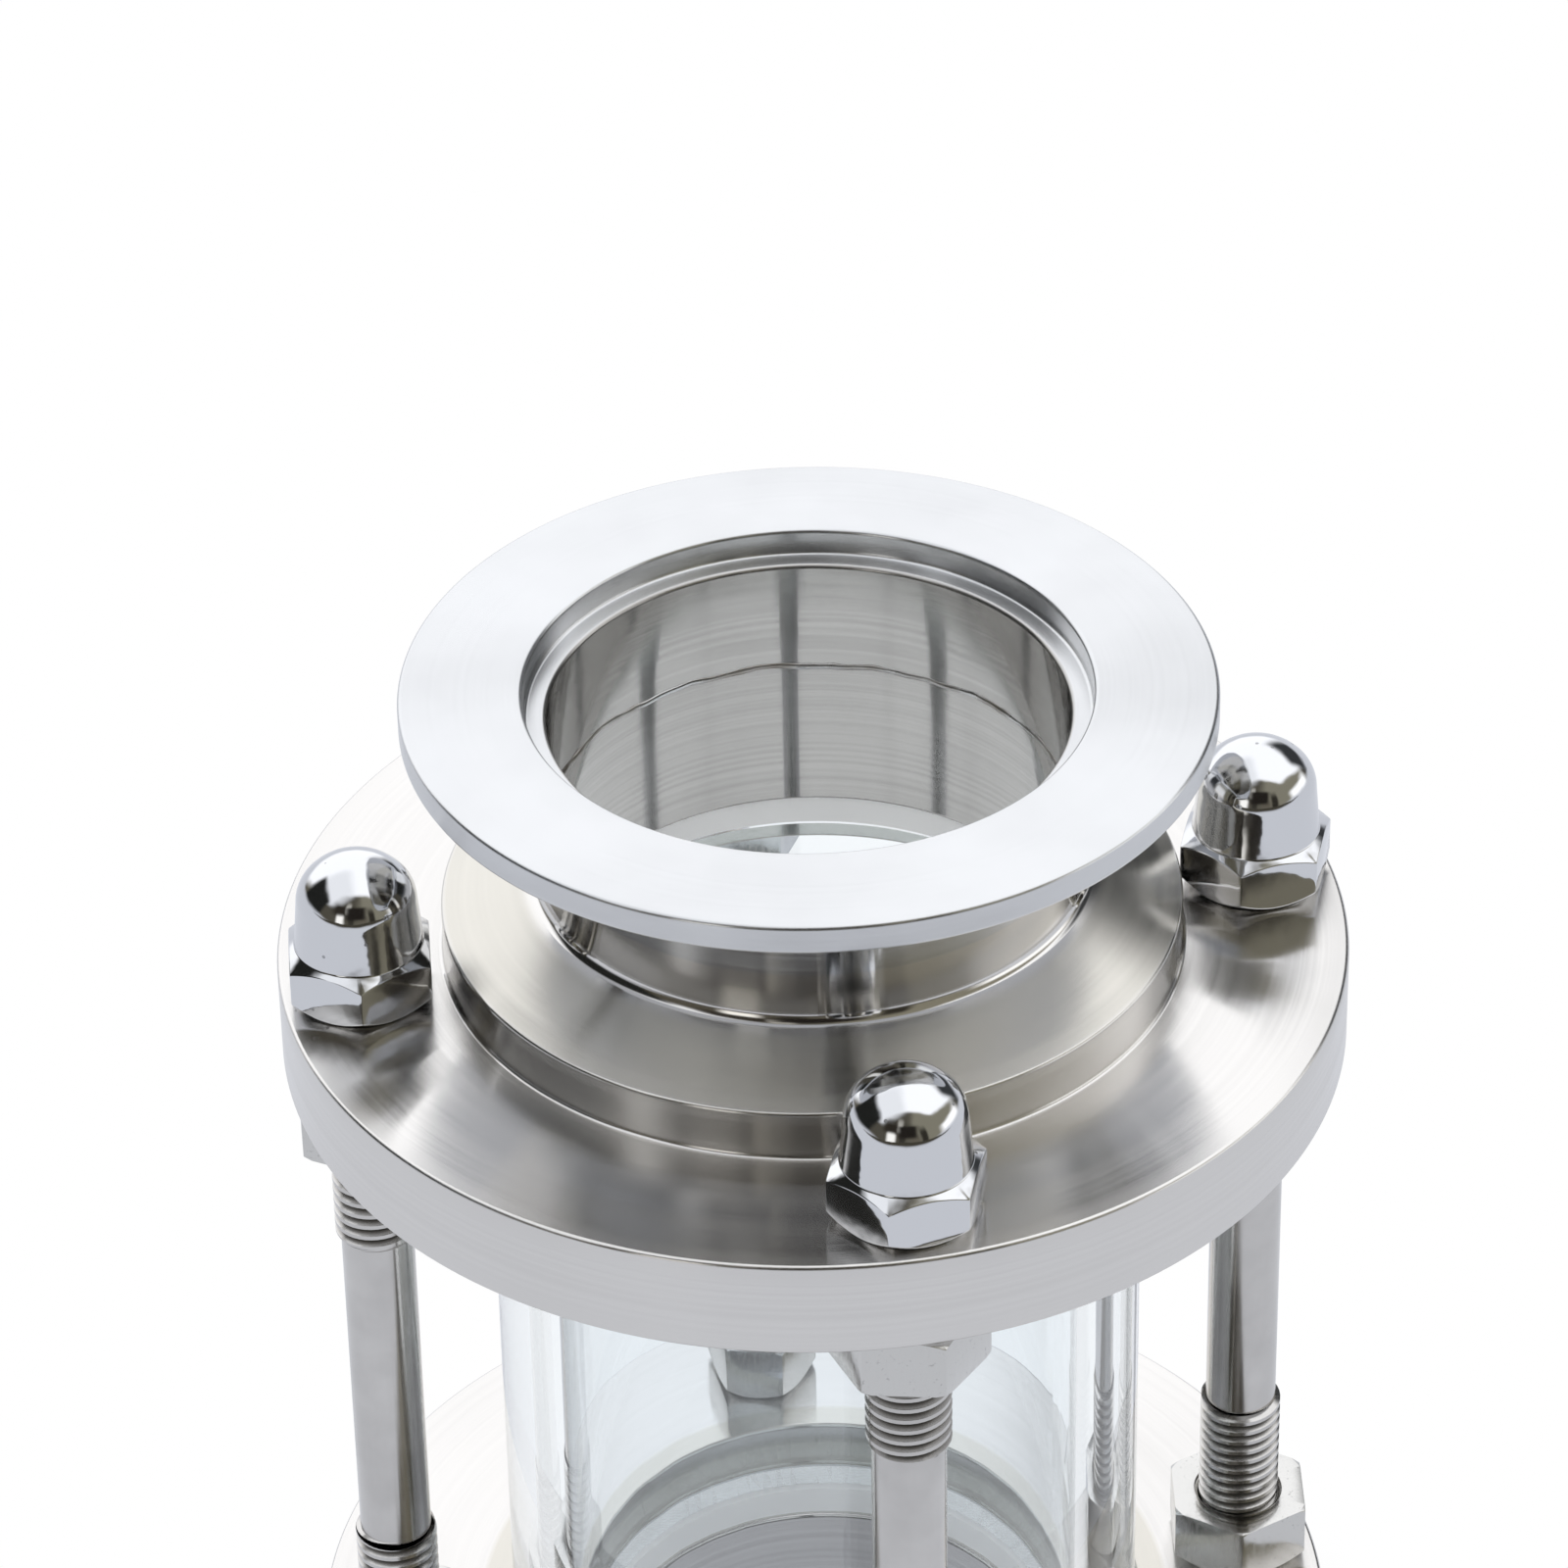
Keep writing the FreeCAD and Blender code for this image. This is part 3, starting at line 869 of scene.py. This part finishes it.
class SIGHTGLASS_OT_weld_seams(bpy.types.Operator):
    """The irregular weld bead inside each end's bore"""
    bl_idname = "sightglass.weld_seams"
    bl_label = "Lay the weld seams"

    def execute(self, context):
        sizes = context.scene.sight_welds
        steel = weld_steel(context.scene.sight_steel)
        # Each unevenness: its name, its size along the seam, its direction and its range.
        uneven = (("wander", 0.006, "Z", sizes.wander * 2),
                  ("swelling", 0.0022, "NORMAL", sizes.height * 2.4))
        for end in ENDS:
            low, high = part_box(end + "_kf_ferrule")
            deselect_all()
            bpy.ops.mesh.primitive_torus_add(
                location=(0, 0, 0), major_segments=360, minor_segments=8,
                major_radius=context.scene.sight_ends.bore_radius, minor_radius=sizes.height)
            bead = name_new(end + "_weld_seam")
            edit_all(bead)
            bpy.ops.transform.resize(value=(1, 1, sizes.width / 2 / sizes.height))
            bpy.ops.object.mode_set(mode="OBJECT")
            for name, scale, direction, strength in uneven:
                texture = bpy.data.textures.new(end + "_weld_" + name, "CLOUDS")
                texture.noise_scale = scale
                apply_modifier(bead, "DISPLACE", texture=texture, direction=direction,
                               strength=strength, mid_level=0.5)
            bead.location.z = low.z if end == "upper" else high.z
            paint(bead, steel)
            bpy.ops.object.shade_smooth()
            settle(bead)
        return {"FINISHED"}


class SIGHTGLASS_OT_steel_plates(bpy.types.Operator):
    """Two end plates: neck stub, conical shoulder, collar, glass seat and four rod holes"""
    bl_idname = "sightglass.steel_plates"
    bl_label = "Turn the end plates"

    def execute(self, context):
        sizes = context.scene.sight_ends
        edge = sizes.edge_round
        shoulder = sizes.neck_length + sizes.shoulder_height
        face = shoulder + sizes.collar_height
        back = face + sizes.plate_thickness
        plate = lathe("turned_plate_lower", [
            (sizes.neck_radius, sizes.weld_height, 0),
            (sizes.neck_radius, sizes.neck_length, sizes.neck_fillet),
            (sizes.collar_radius, shoulder, edge),
            (sizes.collar_radius, face, sizes.collar_fillet),
            (sizes.plate_radius, face, edge),
            (sizes.plate_radius, back, edge),
            (sizes.seat_radius, back, edge),
            (sizes.seat_radius, back - sizes.seat_depth, 0),
            (sizes.bore_radius, back - sizes.seat_depth, edge),
            (sizes.bore_radius, sizes.weld_height, 0),
        ])
        radius, bevel = sizes.rod_hole, sizes.hole_bevel
        mouth = radius + bevel * 2
        for x, y in ((0, -1), (1, 0), (0, 1), (-1, 0)):
            hole = screw_outline("rod_hole", [
                (0, face - bevel), (mouth, face - bevel), (radius, face + bevel),
                (radius, back - bevel), (mouth, back + bevel), (0, back + bevel),
            ])
            shift(hole, (x * sizes.rod_circle, y * sizes.rod_circle, 0))
            combine(plate, hole, "DIFFERENCE")
        finish_ends(plate, "end_plate", turned_steel(context.scene.sight_steel))
        return {"FINISHED"}


class SIGHTGLASS_OT_polished_flanges(bpy.types.Operator):
    """Two clamp flanges with their centring recess, sloped back and tube stub"""
    bl_idname = "sightglass.polished_flanges"
    bl_label = "Turn and polish the clamp flanges"

    def execute(self, context):
        sizes = context.scene.sight_ends
        edge = sizes.edge_round
        cone = (sizes.flange_radius - sizes.neck_radius) * math.tan(sizes.back_angle)
        flange = lathe("clamp_flange_lower", [
            (sizes.recess_radius, 0, edge),
            (sizes.flange_radius, 0, edge),
            (sizes.flange_radius, sizes.rim, edge),
            (sizes.neck_radius, sizes.rim + cone, sizes.back_fillet),
            (sizes.neck_radius, sizes.weld_height, 0),
            (sizes.bore_radius, sizes.weld_height, 0),
            (sizes.bore_radius, sizes.recess_depth, sizes.sealing_edge),
            (sizes.recess_radius, sizes.recess_depth, edge),
        ])
        finish_ends(flange, "kf_ferrule",
                    polished_steel(context.scene.sight_steel))
        return {"FINISHED"}


def lathe(name, corners):
    """Turned ring from the corners of its section: radius, height and round of each."""
    points = []
    for index, (radius, height, round_off) in enumerate(corners):
        apex = Vector((radius, height))
        if not round_off:
            points.append(tuple(apex))
            continue
        before = (Vector(corners[index - 1][:2]) - apex).normalized()
        after = (Vector(corners[(index + 1) % len(corners)][:2]) - apex).normalized()
        half = before.angle(after) / 2
        inward = (before + after).normalized()
        centre = apex + inward * (round_off / math.sin(half))
        reach = math.pi / 2 - half
        if before.x * after.y > before.y * after.x:
            reach = -reach
        outward = math.atan2(-inward.y, -inward.x)
        points += arc(centre, round_off, outward - reach, outward + reach, ROUND_STEPS)
    return screw_outline(name, points + points[:1], RING_STEPS)


def finish_ends(lower, kind, material):
    """Smooths a turned piece, turns a copy over for the upper end and dresses both."""
    smooth_by_angle(lower, 25)
    apply_modifier(lower, "WEIGHTED_NORMAL", mode="FACE_AREA", keep_sharp=True)
    paint(lower, material)
    upper = copy_piece(lower, lower.name.replace("lower", "upper"))
    turn_over(upper, MIDDLE)
    for piece, end in ((lower, "lower"), (upper, "upper")):
        settle(piece)
        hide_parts(end + "_" + kind)


class SIGHTGLASS_OT_nuts(bpy.types.Operator):
    """Eight domed nuts outside the plates and eight hexagon nuts inside them"""
    bl_idname = "sightglass.nuts"
    bl_label = "Shape and finish the nuts"

    def execute(self, context):
        sizes = context.scene.sight_nuts
        look = context.scene.sight_steel
        acorn = make_nut(sizes, "acorn_nut_model", sizes.acorn_hexagon,
                         sizes.acorn_seat_angle, sizes.seat_diameter)
        combine(acorn, screw_outline("acorn_dome", dome_outline(sizes), NUT_STEPS), "UNION")
        combine(acorn, nut_bore(sizes, sizes.acorn_bore, blind=True), "DIFFERENCE")
        plain = make_nut(sizes, "hex_nut_model", sizes.hexagon_height,
                         sizes.chamfer_angle, sizes.free_diameter)
        combine(plain, nut_bore(sizes, sizes.hexagon_height, blind=False), "DIFFERENCE")
        for model, kind, finish, slot, outward in (
                (acorn, "_acorn", chrome_plate(look), "acorn_chrome", True),
                (plain, "_hex", bright_nut_steel(look), "hex_nut_steel", False)):
            soften_edges(model, sizes.edge_bevel)
            for end in ENDS:
                points_down = (end == "upper") != outward
                for place, turn in zip(PLACES, getattr(sizes, end + kind + "_turns")):
                    node = end + kind + "_nut_" + place
                    nut = copy_piece(model, "finished_" + node)
                    if points_down:
                        turn_over(nut)
                    stand_in(nut, node, finish, turn, hang=points_down)
            bpy.data.objects.remove(model)
        return {"FINISHED"}


def dome_outline(sizes):
    """Half outline of the closed cap: drafted flank, tight corner arc and shallow crown arc."""
    draft = sizes.dome_draft
    slope = math.tan(draft)
    crown_centre = sizes.acorn_height - sizes.crown_radius
    gap = sizes.crown_radius - sizes.corner_radius
    flank = sizes.dome_radius - slope * (crown_centre - sizes.acorn_hexagon)
    inset = flank - sizes.corner_radius / math.cos(draft)
    root = (inset * slope) ** 2 - (1 + slope ** 2) * (inset ** 2 - gap ** 2)
    rise = (inset * slope + math.sqrt(root)) / (1 + slope ** 2)
    centre = (inset - slope * rise, crown_centre + rise)
    meeting = math.atan2(rise, centre[0])
    # The dome starts 1 mm up in the hexagon, so that the two overlap.
    foot = 0.001
    flank_points = [(0, foot), (sizes.dome_radius + slope * (sizes.acorn_hexagon - foot), foot)]
    corner = arc(centre, sizes.corner_radius, draft, meeting, 14)
    crown = arc((0, crown_centre), sizes.crown_radius, meeting, math.pi / 2, 7)
    return flank_points + corner + crown[1:-1] + [(0, crown_centre + sizes.crown_radius)]


def make_nut(sizes, name, height, seat_angle, top_diameter):
    """Hexagon bar with a corner towards -Y, both ends turned to a chamfer."""
    corner = sizes.across_flats / 2 / math.cos(math.radians(30))
    seat_slope, top_slope = math.tan(seat_angle), math.tan(sizes.chamfer_angle)
    deselect_all()
    bpy.ops.mesh.primitive_cylinder_add(vertices=6, radius=corner, depth=height,
                                        location=(0, 0, height / 2))
    nut = name_new(name)
    apply_place(nut)
    low, high = sizes.seat_diameter / 2, top_diameter / 2
    spare = 0.0005
    outside = corner + spare
    turned = screw_outline(name + "_chamfer", [
        (0, 0),
        (low, 0),
        (outside, (outside - low) * seat_slope),
        (outside, height - (outside - high) * top_slope),
        (high, height),
        (0, height),
    ], NUT_STEPS)
    combine(nut, turned, "INTERSECT")
    return nut


def nut_bore(sizes, depth, blind):
    """The hole's body: bevelled mouth, and a drill point where it ends in the nut."""
    radius, bevel = sizes.bore_radius, sizes.hole_bevel
    if blind:
        end = [(radius, depth), (0, depth + radius / math.tan(sizes.drill_angle))]
    else:
        end = [(radius, depth - bevel), (radius + bevel * 2, depth + bevel), (0, depth + bevel)]
    start = [(0, -bevel), (radius + bevel * 2, -bevel), (radius, bevel)]
    return screw_outline("nut_bore", start + end)


def soften_edges(nut, width):
    """Rolls every sharp edge over a little, so that it catches the light."""
    sharp = 24
    close_mesh(nut)
    apply_modifier(nut, "BEVEL", width=width, segments=2, limit_method="ANGLE",
                   angle_limit=math.radians(sharp), harden_normals=False, use_clamp_overlap=True)
    smooth_by_angle(nut, sharp)


class SIGHTGLASS_OT_glass(bpy.types.Operator):
    """Clear tube and its two white gaskets"""
    bl_idname = "sightglass.glass"
    bl_label = "Finish the glass and gaskets"

    def execute(self, context):
        look = context.scene.sight_glass
        dress("glass_tube", clear_glass(look))
        rubber = silicone(look)
        for end in ENDS:
            dress(end + "_gasket", rubber)
        return {"FINISHED"}


STEPS = (
    SIGHTGLASS_OT_studio,
    SIGHTGLASS_OT_steel_plates,
    SIGHTGLASS_OT_polished_flanges,
    SIGHTGLASS_OT_weld_seams,
    SIGHTGLASS_OT_nuts,
    SIGHTGLASS_OT_threaded_rods,
    SIGHTGLASS_OT_glass,
)


class SIGHTGLASS_PT_panel(bpy.types.Panel):
    bl_idname = "SIGHTGLASS_PT_panel"
    bl_label = "Sight Glass"
    bl_space_type = "VIEW_3D"
    bl_region_type = "UI"
    bl_category = "Sight Glass"

    def draw(self, context):
        for step in STEPS:
            self.layout.operator(step.bl_idname)
        for name in GROUPS:
            box = self.layout.box()
            group = getattr(context.scene, name)
            for key in group.__annotations__:
                box.prop(group, key)


GROUPS = {
    "sight_threads": ThreadSizes,
    "sight_nuts": NutSizes,
    "sight_ends": EndSizes,
    "sight_welds": WeldSizes,
    "sight_steel": SteelLook,
    "sight_glass": GlassLook,
    "sight_studio": StudioLook,
}
CLASSES = tuple(GROUPS.values()) + STEPS + (SIGHTGLASS_PT_panel,)


def register():
    for item in CLASSES:
        bpy.utils.register_class(item)
    for name, group in GROUPS.items():
        setattr(bpy.types.Scene, name, bpy.props.PointerProperty(type=group))


def unregister():
    for name in GROUPS:
        delattr(bpy.types.Scene, name)
    for item in reversed(CLASSES):
        bpy.utils.unregister_class(item)


def main():
    register()
    bpy.ops.sightglass.studio()
    bpy.ops.sightglass.steel_plates()
    bpy.ops.sightglass.polished_flanges()
    bpy.ops.sightglass.weld_seams()
    bpy.ops.sightglass.nuts()
    bpy.ops.sightglass.threaded_rods()
    bpy.ops.sightglass.glass()


if __name__ == "__main__":
    main()
